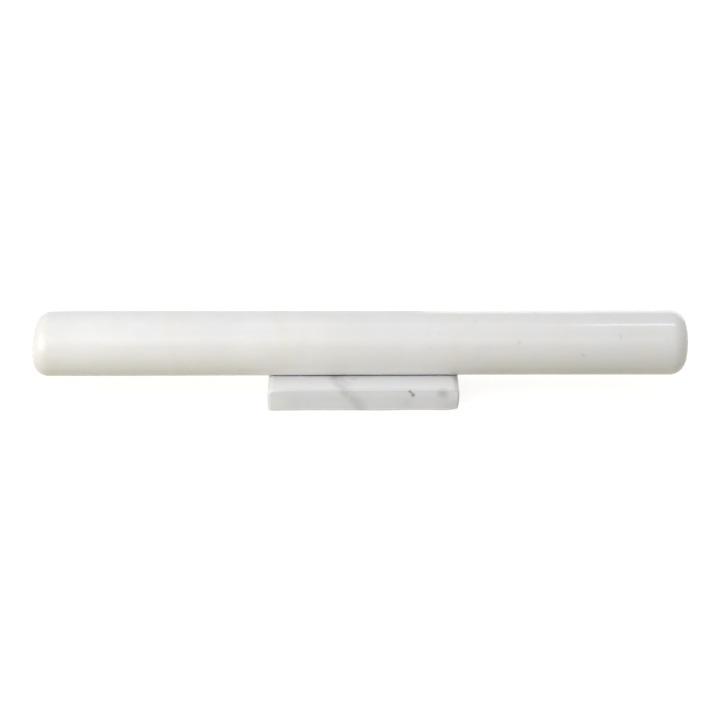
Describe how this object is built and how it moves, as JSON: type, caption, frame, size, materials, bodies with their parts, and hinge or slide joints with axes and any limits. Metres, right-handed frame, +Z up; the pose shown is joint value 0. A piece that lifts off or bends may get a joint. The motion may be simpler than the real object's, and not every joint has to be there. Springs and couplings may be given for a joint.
{
  "type": "rolling pin",
  "caption": "Straight solid marble rolling pin without handles, its ends rounded to shallow domes, lying in the shallow groove of a low rectangular marble stand.",
  "frame": {"origin": "on the worktop, under the middle of the pin, which is also the middle of the base of the whole part's box", "axes": "+X along the pin, +Y from the front of the stand to its back, +Z up"},
  "size_m": [0.4, 0.058, 0.0525],
  "materials": {
    "pin_marble": "polished warm white marble",
    "stand_marble": "fine-ground grey-white marble with a grey vein"
  },
  "bodies": {
    "stand": {"pin_stand": "stand_marble"},
    "pin": {"rolling_pin": "pin_marble"}
  },
  "joints": [
    {"name": "pin_lift", "type": "slide", "parent": "stand", "child": "pin", "axis": [0, 0, 1], "range_m": [0, 0.1]}
  ]
}
